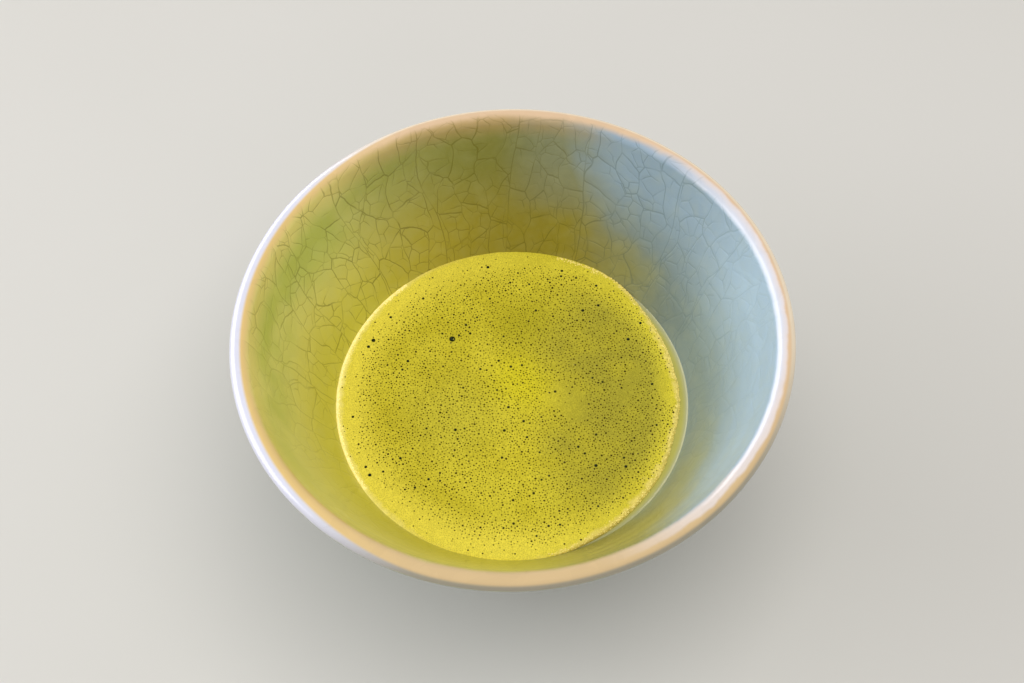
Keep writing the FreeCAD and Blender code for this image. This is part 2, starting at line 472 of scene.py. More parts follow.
# %% Helpers: calculate with places and directions
def vectors(tree, operation, first, second=None, scale=None):
    made = add_node(tree, "ShaderNodeVectorMath", operation=operation)
    feed(tree, made.inputs[0], first)
    if second is not None:
        feed(tree, made.inputs[1], second)
    if scale is not None:
        feed(tree, made.inputs["Scale"], scale)
    return made.outputs["Value" if operation in ("DOT_PRODUCT", "LENGTH") else "Vector"]


def join_xyz(tree, x, y, z=0.0):
    made = add_node(tree, "ShaderNodeCombineXYZ")
    for socket, value in zip(made.inputs, (x, y, z)):
        feed(tree, socket, value)
    return made.outputs[0]


def split_xyz(tree, vector):
    made = add_node(tree, "ShaderNodeSeparateXYZ")
    feed(tree, made.inputs[0], vector)
    return made.outputs


def towards(tree, direction, degrees):
    aim = math.radians(degrees)
    return vectors(tree, "DOT_PRODUCT", direction, (math.cos(aim), math.sin(aim), 0.0))


print("places can be split, joined and compared with a direction")

# %% Helpers: deepen a colour, and build and use a group
def shade_by(tree, colour, share):
    return blend(tree, 1.0, colour, join_xyz(tree, share, share, share), "MULTIPLY")


def new_group(name, inputs, outputs):
    tree = bpy.data.node_groups.new(name, "ShaderNodeTree")
    for label, kind, value in inputs:
        socket = tree.interface.new_socket(label, in_out="INPUT", socket_type=kind)
        if value is not None:
            socket.default_value = value
    for label, kind in outputs:
        tree.interface.new_socket(label, in_out="OUTPUT", socket_type=kind)
    return tree, add_node(tree, "NodeGroupInput").outputs, add_node(tree, "NodeGroupOutput").inputs


def use_group(tree, group, **values):
    made = add_node(tree, "ShaderNodeGroup", node_tree=group)
    for name, value in values.items():
        feed(tree, made.inputs[name.replace("_", " ")], value)
    return made.outputs


print("groups so far:", len(bpy.data.node_groups))

# %% [markdown]
# ## Crazing
# Glaze shrinks more than the clay under it and cracks into plates. The first cracks are long and
# sweep up the wall. Later ones start at right angles from older ones and end on the next, so
# real crazing is full of T junctions. A single Voronoi pattern only has Y junctions. Here the
# wall is first divided into strips by long wandering lines, then each strip gets its own
# Voronoi plates, and each plate gets its own smaller plates. As every plate shifts the pattern
# inside it, small cracks stop where they meet a larger one.
# The group reads the surface as a flat map in millimetres: one way round the bowl, one way down.

# %% Node group: crazing, and how its lines wander
crazing, given, result = new_group(
    "crazing",
    [("Around", "NodeSocketFloat", 0.0), ("Down", "NodeSocketFloat", 0.0),
     ("Strips", "NodeSocketFloat", 16.0), ("Strip Width", "NodeSocketFloat", 18.8),
     ("Place", "NodeSocketVector", None), ("Line Width", "NodeSocketFloat", 0.22)],
    [("Line", "NodeSocketFloat"), ("Groove", "NodeSocketFloat"), ("Plate", "NodeSocketFloat")])
NO_SHIFT = (0.0, 0.0, 0.0)


def shifted_cloud(offset, size, detail=2.0):
    return cloud(crazing, vectors(crazing, "ADD", given["Place"], offset), size, detail)


def wander(offset, size, detail):
    return maths(crazing, "SUBTRACT", shifted_cloud(offset, size, detail), 0.5)


wander_wide = wander(NO_SHIFT, 22 * MM, 0.0)
wander_fine = wander(NO_SHIFT, 3.0 * MM, 2.0)
bend = wander((0.5, 0.5, 0.2), 9 * MM, 1.0)
print("crazing group, wandering:", len(crazing.nodes), "nodes")

# %% Strips up the wall between the long cracks
SWAY = 0.5
TREMBLE = 0.03
BEND_IN_STRIP = 5.0
STRIP_JUMP_ACROSS = 41.3
STRIP_JUMP_DOWN = 23.7
sway = maths(crazing, "MULTIPLY_ADD", wander_fine, TREMBLE, both(crazing, wander_wide, SWAY))
strip_place = maths(crazing, "MULTIPLY_ADD", given["Around"], given["Strips"], sway)
strip = maths(crazing, "FLOORED_MODULO", maths(crazing, "FLOOR", strip_place), given["Strips"])
across = maths(crazing, "FRACT", strip_place)
nearer_side = maths(crazing, "MINIMUM", across, rest_of(crazing, across))
to_strip_edge = both(crazing, given["Strip Width"], nearer_side)
bent_across = maths(crazing, "MULTIPLY_ADD", across, given["Strip Width"],
                    both(crazing, bend, BEND_IN_STRIP))
shifted_across = maths(crazing, "MULTIPLY_ADD", strip, STRIP_JUMP_ACROSS, bent_across)
shifted_down = maths(crazing, "ADD", given["Down"], maths(
    crazing, "MULTIPLY_ADD", strip, STRIP_JUMP_DOWN, wander_fine))
print("crazing group, with strips:", len(crazing.nodes), "nodes")

# %% Big plates in each strip and small plates in each big one
BIG_PLATE = 5.4
SMALL_PLATE = 3.7
BIG_SQUASH = 0.60
SMALL_SQUASH = 1.1
PLATE_JUMP = 70.0


def plates(where, size):
    scaled = vectors(crazing, "SCALE", where, scale=1 / size)
    edges = add_node(crazing, "ShaderNodeTexVoronoi", voronoi_dimensions="2D",
                     feature="DISTANCE_TO_EDGE")
    cells = add_node(crazing, "ShaderNodeTexVoronoi", voronoi_dimensions="2D", feature="F1")
    for texture in (edges, cells):
        feed(crazing, texture.inputs["Vector"], scaled)
        texture.inputs["Scale"].default_value = 1.0
        texture.inputs["Randomness"].default_value = 0.85
    return both(crazing, edges.outputs["Distance"], size), cells.outputs["Color"]


def flat_map(squash):
    return join_xyz(crazing, shifted_across, both(crazing, shifted_down, squash))


big_edge, big_cell = plates(flat_map(BIG_SQUASH), BIG_PLATE)
plate_jump = vectors(crazing, "SCALE", big_cell, scale=PLATE_JUMP)
small_edge, small_cell = plates(
    vectors(crazing, "ADD", flat_map(SMALL_SQUASH), plate_jump), SMALL_PLATE)
print("crazing group, with plates:", len(crazing.nodes), "nodes")

# %% Lines and grooves, strong in some places and faint in others
LINE_CORE = 0.25


def hairline(distance, widest):
    return soft_step(crazing, distance, both(crazing, given["Line Width"], LINE_CORE),
                     both(crazing, given["Line Width"], widest), 1.0, 0.0)


def patchy(offset, size, start, end, weakest, strongest):
    return soft_step(crazing, shifted_cloud(offset, size), start, end, weakest, strongest)


CRACKS = (
    (to_strip_edge, patchy(NO_SHIFT, 16 * MM, 0.36, 0.52, 0.20, 0.8)),
    (big_edge, patchy((0.3, 0.1, 0.7), 6 * MM, 0.34, 0.56, 0.35, 0.9)),
    (small_edge, patchy((0.9, 0.4, 0.2), 5 * MM, 0.38, 0.60, 0.05, 0.75)))


def strongest_crack(widths):
    long_one, big_one, small_one = (
        both(crazing, hairline(distance, width), strength)
        for (distance, strength), width in zip(CRACKS, widths))
    return maths(crazing, "MAXIMUM", long_one, maths(crazing, "MAXIMUM", big_one, small_one))


feed(crazing, result["Line"], strongest_crack((0.66, 0.58, 0.54)))
feed(crazing, result["Groove"], strongest_crack((2.4, 2.2, 1.8)))
feed(crazing, result["Plate"], split_xyz(crazing, small_cell)[0])
print("crazing group, complete:", len(crazing.nodes), "nodes")

# %% [markdown]
# ## Colours of the glaze
# Celadon is one glaze, and its colours here are partly its own and partly painted light. It is straw and
# olive towards the left, greener in drifting patches under the rim, brown at the back, and cool
# blue-grey in a wide cloud on the right. The straw is a painted reflection of the yellow tea and the
# warm light, the brown is painted shade on the wall that faces away from the window, and the cool cloud
# is painted window light. On the warm side it turns tan and yellow near the lip, where it is thin.
# Directions round the bowl are read with a dot product: the cosine between a place and a chosen azimuth
# is 1 there and falls off smoothly on both sides. Azimuths are in degrees: 0 is the right, 90 the back,
# 180 the left, 270 the front.

# %% Tones of the glaze
# Tones that are partly painted light: straw carries a painted reflection of the tea, cool blue-grey
# carries painted window light, and brown is painted shade.
COOL_WINDOW_LIT_LOW = tone(134, 149, 145)
COOL_WINDOW_LIT_HIGH = tone(174, 199, 221)
STRAW_TEA_LIT_LOW = tone(207, 196, 68)
STRAW_TEA_LIT_HIGH = tone(226, 216, 124)
GREEN_PATCH = tone(176, 184, 76)
FRONT_OLIVE = tone(152, 150, 84)
BACK_SHADE_LOW = tone(172, 154, 48)
BACK_SHADE_HIGH = tone(144, 140, 66)
OUTSIDE_DARK = tone(140, 156, 144)
OUTSIDE_LIGHT = tone(156, 170, 156)
MILKY = tone(200, 200, 150)
print("straw to cool blue-grey, in linear light:", [round(c, 2) for c in STRAW_TEA_LIT_HIGH[:3] + COOL_WINDOW_LIT_HIGH[:3]])

# %% Node group: celadon, and its fields
celadon, given, result = new_group(
    "celadon",
    [("Place", "NodeSocketVector", None), ("From Lip", "NodeSocketFloat", 0.0)],
    [("Color", "NodeSocketColor"), ("Cool", "NodeSocketFloat"), ("Lip", "NodeSocketFloat")])
place_x, place_y, place_z = split_xyz(celadon, given["Place"])
sideways = vectors(celadon, "NORMALIZE", join_xyz(celadon, place_x, place_y))


def facing(degrees, start, end, low=0.0, high=1.0):
    return soft_step(celadon, towards(celadon, sideways, degrees), start, end, low, high)


def risen(start, end, low=0.0, high=1.0):
    return soft_step(celadon, place_z, start * MM, end * MM, low, high)


def along_lip(ruler, start, end, low=0.0, high=1.0):
    return soft_step(celadon, ruler, start * MM, end * MM, low, high)


drift = maths(celadon, "SUBTRACT", cloud(celadon, given["Place"], 17 * MM, 3.0), 0.5)
drift_fine = maths(celadon, "SUBTRACT", cloud(celadon, given["Place"], 5 * MM, 3.0), 0.5)
print("celadon group, fields:", len(celadon.nodes), "nodes")

# %% Cool cloud on the right, painted window light
# Painted window light: the cool colour covers the right side of the inner wall, which faces the window.
height_share = both(celadon, maths(celadon, "SUBTRACT", place_z, 45 * MM), 1 / (20 * MM))
height_share = maths(celadon, "MAXIMUM", height_share, -0.15)
cool_reach = maths(celadon, "MULTIPLY_ADD", height_share, 0.28, towards(celadon, sideways, 8))
cool_reach = maths(celadon, "MULTIPLY_ADD", drift, 0.50, cool_reach)
cool_veil = both(celadon, facing(66, 0.88, 1.0), risen(42, 48, 0.0, 0.25))
cool_inside = maths(celadon, "MAXIMUM", cool_veil, soft_step(celadon, cool_reach, 0.38, 0.92))
window_lit_colour = blend(celadon, risen(36, 60), COOL_WINDOW_LIT_LOW, COOL_WINDOW_LIT_HIGH)
print("celadon group, cool side:", len(celadon.nodes), "nodes")

# %% Straw, green, olive and brown on the warm side, with painted reflection and painted shade
# Painted reflection: the straw on the left stands for yellow light from the tea and the warm light.
straw = blend(celadon, risen(36, 58), STRAW_TEA_LIT_LOW, STRAW_TEA_LIT_HIGH)
under_rim = both(celadon, facing(145, 0.0, 0.8), risen(44, 57))
green_patch = both(celadon, soft_step(celadon, drift, -0.16, 0.10, 0.35, 1.0), under_rim)
warm_colour = blend(celadon, both(celadon, green_patch, 0.8), straw, GREEN_PATCH)
warm_colour = blend(celadon, facing(315, 0.55, 1.0, 0.0, 0.8), warm_colour, FRONT_OLIVE)
# Painted shade: brown at the back, on the wall that faces away from the window.
brown = blend(celadon, risen(38, 58), BACK_SHADE_LOW, BACK_SHADE_HIGH)
warm_colour = blend(celadon, facing(92, 0.55, 1.0, 0.0, 0.85), warm_colour, brown)
inner_colour = blend(celadon, cool_inside, warm_colour, window_lit_colour)
print("celadon group, warm side:", len(celadon.nodes), "nodes")

# %% Painted shade at the back and in front, and the outside
# Painted shade: the inner wall is darker at the back right and in front.
painted_shade = both(celadon, facing(66, 0.58, 1.0, 1.0, 0.66), facing(272, 0.5, 1.0, 1.0, 0.78))
inner_colour = shade_by(celadon, inner_colour, painted_shade)
outer_colour = blend(celadon, soft_step(celadon, drift, -0.2, 0.2), OUTSIDE_DARK, OUTSIDE_LIGHT)
is_outside = along_lip(given["From Lip"], 1.2, 3.2)
cool_or_outside = maths(celadon, "MAXIMUM", cool_inside, is_outside)
body_colour = blend(celadon, is_outside, inner_colour, outer_colour)
mottle = both(celadon, maths(celadon, "ABSOLUTE", drift_fine), 0.35)
body_colour = blend(celadon, mottle, body_colour, MILKY)
print("celadon group, with its outside:", len(celadon.nodes), "nodes")

# %% [markdown]
# ## The lip
# The glaze is thinnest over the edge, and the clay shows through it: tan at the back, warmer on the left
# and darker in front. On the outer half of the lip the colour is painted light: a pale painted highlight
# at the back, a cool, nearly white painted highlight on the left, and painted shade in front. Below the
# lip the thin glaze stays warm for a few millimetres, and on the right a painted highlight lies just
# inside the edge as a pale band.

# %% Tones of the lip and where they lie
LIP_BACK = tone(220, 188, 152)
LIP_FRONT = tone(210, 181, 134)
LIP_LEFT = tone(228, 194, 124)
# Edge tones are painted light: highlights at the back and on the left, shade in front.
EDGE_HIGHLIGHT_BACK = tone(240, 222, 194)
EDGE_SHADE_FRONT = tone(158, 150, 130)
EDGE_HIGHLIGHT_LEFT = tone(218, 218, 233)
THIN_BACK = tone(208, 168, 120)
THIN_LEFT = tone(238, 216, 130)
RIGHT_LIP_HIGHLIGHT = tone(232, 228, 236)
lip_front = facing(275, 0.0, 0.8)
lip_left = facing(182, 0.3, 0.85)
lip_right = facing(10, 0.4, 0.95)
lip_ruler = maths(celadon, "MULTIPLY_ADD", drift_fine, 1.2 * MM, given["From Lip"])
print("celadon group, directions of the lip:", len(celadon.nodes), "nodes")

# %% Mask and colour of the lip
wider = maths(celadon, "ADD", lip_front, lip_left)
wide_ruler = maths(celadon, "MULTIPLY_ADD", wider, 0.9 * MM, lip_ruler)
wide_ruler = maths(celadon, "MULTIPLY_ADD", lip_right, -0.6 * MM, wide_ruler)
lip_mask = both(celadon, along_lip(wide_ruler, -2.4, -0.4), along_lip(lip_ruler, 2.0, 3.2, 1.0, 0.0))


def round_the_lip(back, front, left):
    return blend(celadon, lip_left, blend(celadon, lip_front, back, front), left)


# Painted highlight and painted shade on the outer half of the lip.
edge_shift = maths(celadon, "MULTIPLY_ADD", lip_left, 1.3 * MM, both(celadon, lip_front, -0.6 * MM))
edge_light_and_shade = along_lip(maths(celadon, "ADD", edge_shift, given["From Lip"]), 0.1, 0.9)
lip_colour = blend(celadon, edge_light_and_shade, round_the_lip(LIP_BACK, LIP_FRONT, LIP_LEFT),
                   round_the_lip(EDGE_HIGHLIGHT_BACK, EDGE_SHADE_FRONT, EDGE_HIGHLIGHT_LEFT))
print("celadon group, with its lip:", len(celadon.nodes), "nodes")

# %% Thin glaze below the lip and the painted highlight on the right
# Painted highlight: a pale band just inside the lip on the right.
highlight_reach = facing(-6, 0.35, 0.85)
right_lip_highlight = both(celadon, along_lip(lip_ruler, -3.2, -1.7), along_lip(lip_ruler, -0.5, 0.3, 1.0, 0.0))
right_lip_highlight = both(celadon, right_lip_highlight, highlight_reach)
thin_where = both(celadon, rest_of(celadon, lip_front), rest_of(celadon, highlight_reach))
thin_where = both(celadon, thin_where, rest_of(celadon, cool_or_outside))
thin_ruler = maths(celadon, "MULTIPLY_ADD", lip_left, 2.0 * MM, lip_ruler)
thin_glaze = both(celadon, thin_where, along_lip(thin_ruler, -7.0, -1.5, 0.0, 0.6))
thin_tone = blend(celadon, lip_left, THIN_BACK, THIN_LEFT)
body_colour = blend(celadon, thin_glaze, body_colour, thin_tone)
body_colour = blend(celadon, lip_mask, body_colour, lip_colour)
body_colour = blend(celadon, both(celadon, right_lip_highlight, 0.65), body_colour, RIGHT_LIP_HIGHLIGHT)
feed(celadon, result["Color"], body_colour)
feed(celadon, result["Cool"], cool_or_outside)
feed(celadon, result["Lip"], maths(celadon, "MAXIMUM", lip_mask, right_lip_highlight))
print("celadon group, complete:", len(celadon.nodes), "nodes")

# %% [markdown]
# ## Glaze material
# The two groups meet here. Crazing darkens the glaze in thin lines, olive on the straw side and
# teal on the cool side, and the same lines go into a bump so that each crack catches the window.
# Below the glaze line the clay is bare, brown and dull. The clear coat stands for the glassy
# skin, and its weight, not its roughness, changes from glaze to clay.

# %% Glaze material and the map that its cracks follow
STRIPS = 16
MEAN_RADIUS = 48.0
LINE_WIDTH = 0.24
glaze, tree, shader, place = new_material(
    "crazed_celadon", Coat_Roughness=0.09, Coat_IOR=1.5, IOR=1.45, Specular_IOR_Level=0.12)
ruler = add_node(tree, "ShaderNodeAttribute", attribute_name="from_lip").outputs["Fac"]
x, y, z = split_xyz(tree, place)
around = maths(tree, "MULTIPLY_ADD", maths(tree, "ARCTAN2", x, y), 1 / (2 * math.pi), 0.5)
cracks = use_group(
    tree, crazing, Around=around, Down=both(tree, ruler, 1 / MM), Strips=float(STRIPS),
    Strip_Width=2 * math.pi * MEAN_RADIUS / STRIPS, Place=place, Line_Width=LINE_WIDTH)
colours = use_group(tree, celadon, Place=place, From_Lip=ruler)
off_lip = rest_of(tree, colours["Lip"])
print("strips between long cracks:", STRIPS, "of", round(2 * math.pi * MEAN_RADIUS / STRIPS, 1), "mm")

# %% How strongly the cracks show
CRACK_WARM = tone(106, 98, 24)
CRACK_COOL = tone(98, 118, 122)
round_bowl = vectors(tree, "NORMALIZE", join_xyz(tree, x, y))
at_back = soft_step(tree, towards(tree, round_bowl, 104), -0.5, 0.8)
high_up = soft_step(tree, z, 44 * MM, 58 * MM)
fades_upwards = both(tree, high_up, maths(tree, "MULTIPLY_ADD", at_back, -0.65, 0.75))
crack_share = maths(tree, "MULTIPLY_ADD", at_back, 0.50, 0.12)
crack_share = both(tree, crack_share, rest_of(tree, fades_upwards))
crack_share = both(tree, crack_share, both(tree, cracks["Line"], off_lip))
glazed = blend(tree, crack_share, colours["Color"], blend(
    tree, colours["Cool"], CRACK_WARM, CRACK_COOL))
glazed = shade_by(tree, glazed, maths(tree, "MULTIPLY_ADD", cracks["Plate"], 0.04, 0.98))
print("glaze material with cracks:", len(tree.nodes), "nodes")

# %% Bare clay below the glaze line
CLAY_DARK = tone(150, 112, 82)
CLAY_LIGHT = tone(188, 152, 116)
clay_edge = maths(tree, "MULTIPLY_ADD", cloud(tree, place, 14 * MM), 1.6 * MM, 2.2 * MM)
bare = soft_step(tree, maths(tree, "SUBTRACT", z, clay_edge), -0.15 * MM, 0.15 * MM, 1.0, 0.0)
clay_colour = blend(tree, cloud(tree, place, 1.2 * MM, 4.0), CLAY_DARK, CLAY_LIGHT)
feed(tree, shader["Base Color"], blend(tree, bare, glazed, clay_colour))
feed(tree, shader["Roughness"], maths(tree, "MULTIPLY_ADD", bare, 0.45, 0.38))
glassy = maths(tree, "MAXIMUM", colours["Lip"], soft_step(tree, ruler, 0.5 * MM, 2 * MM, 0.45, 0.8))
feed(tree, shader["Coat Weight"], both(tree, glassy, rest_of(tree, bare)))
print("glaze material with clay:", len(tree.nodes), "nodes")

# %% Helper: relief from a height
GLAZE_RELIEF = 0.12 * MM


def add_bump(tree, height, distance, strength=1.0):
    bump = add_node(tree, "ShaderNodeBump")
    bump.inputs["Distance"].default_value = distance
    bump.inputs["Strength"].default_value = strength
    feed(tree, bump.inputs["Height"], height)
    return bump.outputs["Normal"]


print("relief of the glaze:", round(GLAZE_RELIEF / MM, 2), "mm deep")

# %% Helper: finish a piece
def finish_piece(shape, name, material):
    data = bpy.data.meshes.new(name)
    for face in shape.faces:
        face.smooth = True
    triangles = sum(len(face.verts) - 2 for face in shape.faces)
    shape.to_mesh(data)
    shape.free()
    data.materials.append(material)
    piece = bpy.data.objects.new(name, data)
    bpy.context.scene.collection.objects.link(piece)
    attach(piece, "root")
    print(name, "has", triangles, "triangles")
    return piece


print("materials so far:", len(bpy.data.materials))

# %% Relief of the glaze, and the finished bowl
peel = both(tree, cloud(tree, place, 2.6 * MM), 0.12)
grit = both(tree, cloud(tree, place, 0.5 * MM, 3.0), both(tree, bare, 0.8))
groove = both(tree, cracks["Groove"], off_lip)
relief = maths(tree, "MULTIPLY_ADD", groove, -0.5, maths(tree, "ADD", peel, grit))
feed(tree, shader["Normal"], add_bump(tree, relief, GLAZE_RELIEF, 0.8))
glazed_bowl = finish_piece(bowl_section, "glazed_bowl", glaze)
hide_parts("bowl")

# %% [markdown]
# ## The tea
# Whisked matcha is a suspension of powder, so it is opaque like paint and needs no refraction.
# Its body follows the inside of the bowl and goes a third of a millimetre into the clay, so that
# no slit opens at the wall. At the top the water climbs the glaze in a small curve, the
# meniscus, which is one more arc in the section.

# %% Turn the tea
MENISCUS_CENTRE = (38.73, 35.10)
MENISCUS_TURN = 55.0
INTO_CLAY = 40.05
TEA_STEPS = 192
tea_section, tip = start_section(0, TEA_LEVEL)
tip = pull_to(tea_section, tip, MENISCUS_CENTRE[0], TEA_LEVEL, 26)
tip = swing(tea_section, tip, MENISCUS_CENTRE, MENISCUS_TURN, 12)
tip = pull_to(tea_section, tip, INTO_CLAY, tip.co.z / MM)
wall_turn = turn_in - angle_of(BOW_CENTRE, (tip.co.x / MM, tip.co.z / MM))
tip = swing(tea_section, tip, BOW_CENTRE, wall_turn, 10)
tip = swing(tea_section, tip, FLOOR_CENTRE, -90 - turn_in, 20)
tip.co.x = 0
turn_full(tea_section, TEA_STEPS)
print("tea closed:", all(edge.is_manifold for edge in tea_section.edges))

# %% Tea material and piece
tea_look, tree, shader, place = new_material("whisked_tea", Roughness=0.07, IOR=1.34)
x, y = split_xyz(tree, place)[:2]
reach = vectors(tree, "LENGTH", join_xyz(tree, x, y))
pale_edge = soft_step(tree, reach, 38.0 * MM, 39.4 * MM)
tea_colour = blend(tree, cloud(tree, place, 4 * MM), tone(188, 182, 88), tone(197, 191, 100))
feed(tree, shader["Base Color"], blend(tree, pale_edge, tea_colour, tone(180, 180, 136)))
feed(tree, shader["Normal"], add_bump(tree, cloud(tree, place, 3 * MM), 0.05 * MM))
tea_body = finish_piece(tea_section, "tea_body", tea_look)
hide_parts("tea")

# %% [markdown]
# ## The foam raft
# The foam is one soft sheet about a millimetre thick. It fills the bowl from wall to wall apart
# from a crescent on the right, where the tea looks through. Its outline is the wall's radius,
# pulled back where the raft is open, with a fine fringe. The CAD model draws the crescent the
# same on both sides. Here its back half is narrower, and both ends run out softly. Where the
# raft meets the wall it goes half a millimetre into the clay, so that no slit opens.
# It is turned as a plain disc with many rings, and then every vertex moves out to the outline.

# %% Outline of the raft
WALL_AT_FOAM = 40.02
GAP = 2.6
GAP_TO_FRONT = 90.0
GAP_TO_BACK = 66.0
FRONT_FALL = 2.0
BACK_FALL = 1.5
REACH_IN = 0.45


def openness(azimuth):
    gap_end, fall = (GAP_TO_BACK, BACK_FALL) if azimuth > 0 else (GAP_TO_FRONT, FRONT_FALL)
    share = min(1.0, abs(math.degrees(azimuth)) / gap_end)
    return math.cos(math.pi / 2 * share ** fall) ** 2


def foam_radius(azimuth):
    open_here = openness(azimuth)
    fringe = 0.16 * (math.sin(7 * azimuth + 0.6) + 0.7 * math.sin(13 * azimuth + 2.1))
    ragged = 0.10 * noise.noise(Vector((math.cos(azimuth), math.sin(azimuth), 0)) * 22)
    drawn_back = (GAP + REACH_IN) * open_here
    return (WALL_AT_FOAM + REACH_IN - drawn_back + (fringe + ragged) * open_here) * MM


print("free edge at 0 degrees:", round(foam_radius(0) / MM, 2), "mm")

# %% [markdown]
# ## Where the bubbles are
# Bubbles are drawn before the raft is made, because the larger ones press a small pocket into it. A few
# are listed one by one. The rest are scattered: a random place is kept if the foam there is coarse
# enough and no other bubble is in the way. Along its edge the foam is calm, with few bubbles, and this
# calm band is narrow on the right. The seed is fixed, so every run agrees.

# %% Listed bubbles, as (x, y, diameter) in millimetres
LARGE_BUBBLES = (
    (-13.75, 16.2, 1.5), (-31.9, 16.3, 1.0), (-33.0, 14.6, 0.8), (-5.3, 35.9, 0.75),
    (12.1, 34.4, 0.7), (16.6, 23.2, 0.8), (26.7, 15.1, 0.8), (-13.1, -7.7, 0.75),
    (2.2, -5.9, 0.7), (-0.4, 8.4, 0.65), (17.9, -17.5, 0.8), (24.5, -17.9, 0.75),
    (-32.0, -18.6, 0.85), (-32.9, -16.6, 0.7), (-36.1, -3.8, 0.6), (-28.0, 22.5, 0.7),
    (5.7, 23.5, 0.65), (-9.6, 17.6, 0.6), (9.5, 1.6, 0.6), (31.5, 3.0, 0.6),
    (-20.5, 27.5, 0.6), (20.0, 30.0, 0.6), (4.0, -24.0, 0.65), (-22.0, -22.0, 0.6))
print(len(LARGE_BUBBLES), "bubbles placed by hand")

# %% How coarse the foam is at a place
CALM_RIM = 0.8
FEWEST = 0.03


def coarse_foam(x, y):
    azimuth = math.atan2(y, x)
    from_edge = foam_radius(azimuth) / MM - math.hypot(x, y)
    if from_edge <= CALM_RIM:
        return 0.0
    to_right = 0.5 + 0.5 * math.cos(azimuth)
    calm = 6.0 + 2.2 * abs(math.sin(azimuth)) - 6.4 * to_right ** 1.5
    calm += 2.0 * noise.noise(Vector((x, y, 3)) / 9)
    rise = within_one((from_edge - 0.35 * calm) / (0.9 * calm + 0.3))
    patch = 0.9 + 0.3 * noise.noise(Vector((x, y, 0)) / 8)
    return max(FEWEST, rise * rise * min(1.0, max(0.15, patch)))


print("coarseness in the middle:", round(coarse_foam(0, 0), 2))

# %% Scatter the small bubbles
FOAM_SEED = 1105
SCATTER_RADIUS = 39.0
APART_SHARE = 0.55


def scatter(draw, count, low, high, taken, apart, floor_share=0.0):
    found = []
    while len(found) < count:
        radius = SCATTER_RADIUS * math.sqrt(draw.random())
        azimuth = draw.uniform(-math.pi, math.pi)
        size = low + (high - low) * draw.random() ** 2
        x, y = radius * math.cos(azimuth), radius * math.sin(azimuth)
        share = coarse_foam(x, y)
        if share <= 0 or draw.random() > max(share, floor_share):
            continue
        cell = (math.floor(x), math.floor(y))
        near = [b for i in (-1, 0, 1) for j in (-1, 0, 1)
                for b in taken.get((cell[0] + i, cell[1] + j), ())]
        if any(math.hypot(x - b[0], y - b[1]) < max(apart, APART_SHARE * (size + b[2])) for b in near):
            continue
        taken.setdefault(cell, []).append((x, y, size))
        found.append((x, y, size))
    return found


draw = random.Random(FOAM_SEED)
taken = {}
for bubble in LARGE_BUBBLES:
    taken.setdefault((math.floor(bubble[0]), math.floor(bubble[1])), []).append(bubble)
medium_bubbles = scatter(draw, count=46, low=0.5, high=0.7, taken=taken, apart=1.0, floor_share=0.25)
small_bubbles = scatter(draw, count=620, low=0.38, high=0.54, taken=taken, apart=0.9, floor_share=0.10)
pin_bubbles = scatter(draw, count=5600, low=0.26, high=0.40, taken=taken, apart=0.50)
print(len(medium_bubbles), "medium,", len(small_bubbles), "small and", len(pin_bubbles), "pin bubbles")

# %% Turn the raft as a plain disc
DISC_RADIUS = 40.0
EDGE_ZONE_FROM = 36.0
RAFT_UNDERSIDE = TEA_LEVEL - 0.3
RAFT_STEPS = 512
raft_section, tip = start_section(0, RAFT_UNDERSIDE)
tip = pull_to(raft_section, tip, DISC_RADIUS, RAFT_UNDERSIDE, 6)
tip = pull_to(raft_section, tip, DISC_RADIUS, FOAM_TOP)
tip = pull_to(raft_section, tip, EDGE_ZONE_FROM, FOAM_TOP, 24)
pull_to(raft_section, tip, 0, FOAM_TOP, 100)
turn_full(raft_section, RAFT_STEPS)
print("raft closed:", all(edge.is_manifold for edge in raft_section.edges))

# %% Height of the raft's top at a place
POCKET_REACH = 2.2
pockets = [b for b in LARGE_BUBBLES if b[2] > 0.6]


def raft_height(x, y, from_edge, open_here):
    edge_round = 0.35 + 0.65 * open_here
    near_edge = max(0.0, 1 - from_edge / edge_round)
    drop = (0.45 + 0.55 * open_here) * (1 - math.sqrt(max(0.0, 1 - near_edge ** 2)))
    relief = 0.06 * noise.noise(Vector((x, y, 0)) / 5) + 0.045 * noise.noise(Vector((x, y, 2)) / 1.3)
    swell = 0.14 * math.exp(-((from_edge - 1.3) / 1.0) ** 2)
    height = FOAM_TOP - 0.06 + relief + swell - drop
    for px, py, size in pockets:
        distance = math.hypot(x - px, y - py) / size
        if distance < POCKET_REACH:
            ring = math.exp(-((distance - 0.75) / 0.3) ** 2)
            hollow = math.exp(-(distance / 0.5) ** 2)
            height += 0.10 * size * (ring - hollow)
    return height


print(len(pockets), "bubbles press a pocket")

# %% Move every vertex out to the outline
for vert in raft_section.verts:
    share = vert.co.xy.length / (DISC_RADIUS * MM)
    on_top = vert.co.z > (FOAM_TOP - 0.1) * MM
    if share < 1e-6:
        continue
    azimuth = math.atan2(vert.co.y, vert.co.x)
    edge = foam_radius(azimuth)
    vert.co.x *= edge / (DISC_RADIUS * MM)
    vert.co.y *= edge / (DISC_RADIUS * MM)
    if on_top:
        from_edge = edge * (1 - share) / MM
        height = raft_height(vert.co.x / MM, vert.co.y / MM, from_edge, openness(azimuth))
        vert.co.z = height * MM
print("raft's highest point:", round(max(v.co.z for v in raft_section.verts) / MM, 2), "mm")

# %% [markdown]
# ## Foam colours
# Fresh foam is bright yellow-green. It is palest and creamiest at its rim, where the bubbles are
# finest, and duller on the side away from the window. The group mixes these fields by place,
# and a fine Voronoi pattern adds the grain of bubbles that are too small to model.

